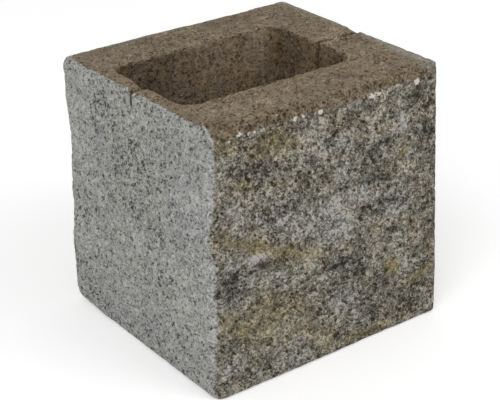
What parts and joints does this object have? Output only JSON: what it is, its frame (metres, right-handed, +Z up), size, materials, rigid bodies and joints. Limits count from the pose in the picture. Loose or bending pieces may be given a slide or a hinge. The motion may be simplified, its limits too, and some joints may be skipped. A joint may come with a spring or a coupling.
{
  "type": "concrete block",
  "caption": "Hollow concrete walling block with one open core, a split front, a split end and a shallow break groove across its end walls.",
  "frame": {"origin": "centre of the footprint, on the lower bed", "axes": "+Z up out of the top bed, -Y out of the split front, -X out of the split end, +X out of the moulded end, +Y out of the moulded rear"},
  "size_m": [0.2046, 0.1864, 0.2],
  "materials": {
    "concrete": "rough cast concrete, brown on the moulded faces, grey and mottled on the split faces"
  },
  "bodies": {
    "root": {"block": "concrete"}
  },
  "joints": []
}
